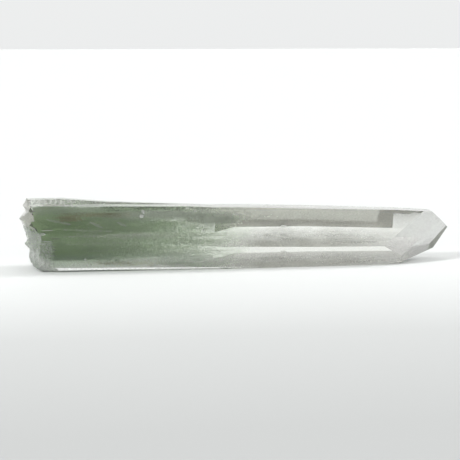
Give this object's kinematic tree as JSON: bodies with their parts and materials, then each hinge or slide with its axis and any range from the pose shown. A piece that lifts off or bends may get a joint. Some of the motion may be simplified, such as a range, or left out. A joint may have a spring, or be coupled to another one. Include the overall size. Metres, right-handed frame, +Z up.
{
  "type": "chlorite quartz crystal",
  "caption": "Slender clear quartz crystal lying on a prism face, pointed at one end and broken rough at the other, with a green chlorite cloud sealed in its base half.",
  "frame": {"origin": "under the middle of the crystal's bounding box, on the surface it rests on", "axes": "+X along the crystal's long axis towards its point, +Z up, out of the resting prism face; -Y is the front"},
  "size_m": [0.1008, 0.017, 0.016],
  "materials": {
    "clear_quartz": "clear natural faces, faintly grey, with fine growth steps across the prism",
    "chlorite": "soft green mineral scales sealed in the crystal",
    "broken_quartz": "rough grey-white conchoidal break with crushed grains"
  },
  "bodies": {
    "root": {"quartz_crystal": "clear_quartz"}
  },
  "joints": []
}
